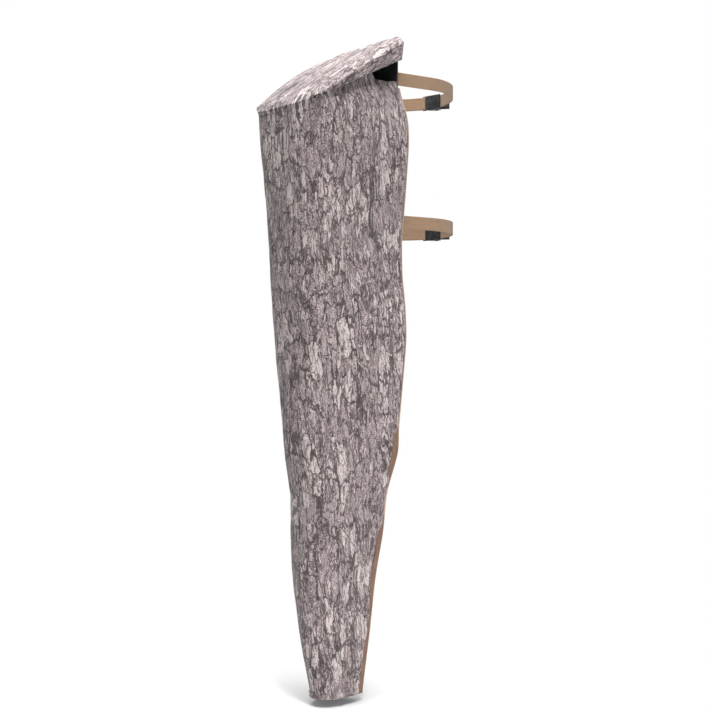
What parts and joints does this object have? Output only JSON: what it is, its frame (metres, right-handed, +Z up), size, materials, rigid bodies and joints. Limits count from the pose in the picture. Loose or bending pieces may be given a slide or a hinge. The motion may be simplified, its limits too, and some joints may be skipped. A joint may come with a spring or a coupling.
{
  "type": "gravity bag feeder",
  "caption": "Tapering cloth hopper strapped to a tree trunk; a rain hood covers its filling mouth and grain runs out of the open spout at its foot.",
  "frame": {"origin": "on the trunk's axis at mid-height of the upper strap", "axes": "+Z up along the trunk, the bag on the -Y side, +X to the bag's right seen from the front"},
  "size_m": [0.2482, 0.4698, 1.24],
  "materials": {
    "camo_cloth": "printed woven polyester, matte",
    "brown_cloth": "plain woven polyester, matte",
    "black_lining": "waterproof coating, satin",
    "binding_tape": "ribbed binding tape, matte",
    "thread": "bonded nylon thread",
    "hook_loop": "hook and loop tape",
    "tan_webbing": "woven polyester webbing, matte",
    "plated_steel": "black zinc plated, satin",
    "spring_steel": "bright drawn wire",
    "hoop_plastic": "black flexible strip"
  },
  "bodies": {
    "bag": {"front_panel": "camo_cloth", "right_side_panel": "camo_cloth", "left_side_panel": "camo_cloth", "back_panel": "brown_cloth", "liner": "black_lining", "mouth_hems": "camo_cloth", "right_seam_binding": "binding_tape", "left_seam_binding": "binding_tape", "spout_binding": "binding_tape", "spout_hoop": "hoop_plastic", "loop_tape": "hook_loop", "keeper_bartacks": "thread", "upper_keepers": "brown_cloth", "upper_strap": "tan_webbing", "upper_buckle_frame": "plated_steel", "upper_cam_pin": "plated_steel", "upper_cam_spring": "spring_steel", "lower_keepers": "brown_cloth", "lower_strap": "tan_webbing", "lower_buckle_frame": "plated_steel", "lower_cam_pin": "plated_steel", "lower_cam_spring": "spring_steel"},
    "hood": {"hood_top": "camo_cloth", "hood_right_skirt": "camo_cloth", "hood_left_skirt": "camo_cloth", "hood_tab": "camo_cloth", "hook_tape": "hook_loop"},
    "upper_cam": {"upper_cam_lever": "plated_steel"},
    "lower_cam": {"lower_cam_lever": "plated_steel"}
  },
  "joints": [
    {"name": "hood_fold", "type": "hinge", "parent": "bag", "child": "hood", "pos_m": [0, -0.3318, -0.069], "axis": [1, 0, 0], "range_deg": [0, 170]},
    {"name": "upper_cam_release", "type": "hinge", "parent": "bag", "child": "upper_cam", "pos_m": [0.006, 0.1205, 0], "axis": [0, 0, -1], "range_deg": [0, 28], "stiffness_Nm_per_rad": 0.05, "springref_deg": -28.65},
    {"name": "lower_cam_release", "type": "hinge", "parent": "bag", "child": "lower_cam", "pos_m": [0.006, 0.1205, -0.27], "axis": [0, 0, -1], "range_deg": [0, 28], "stiffness_Nm_per_rad": 0.05, "springref_deg": -28.65}
  ]
}
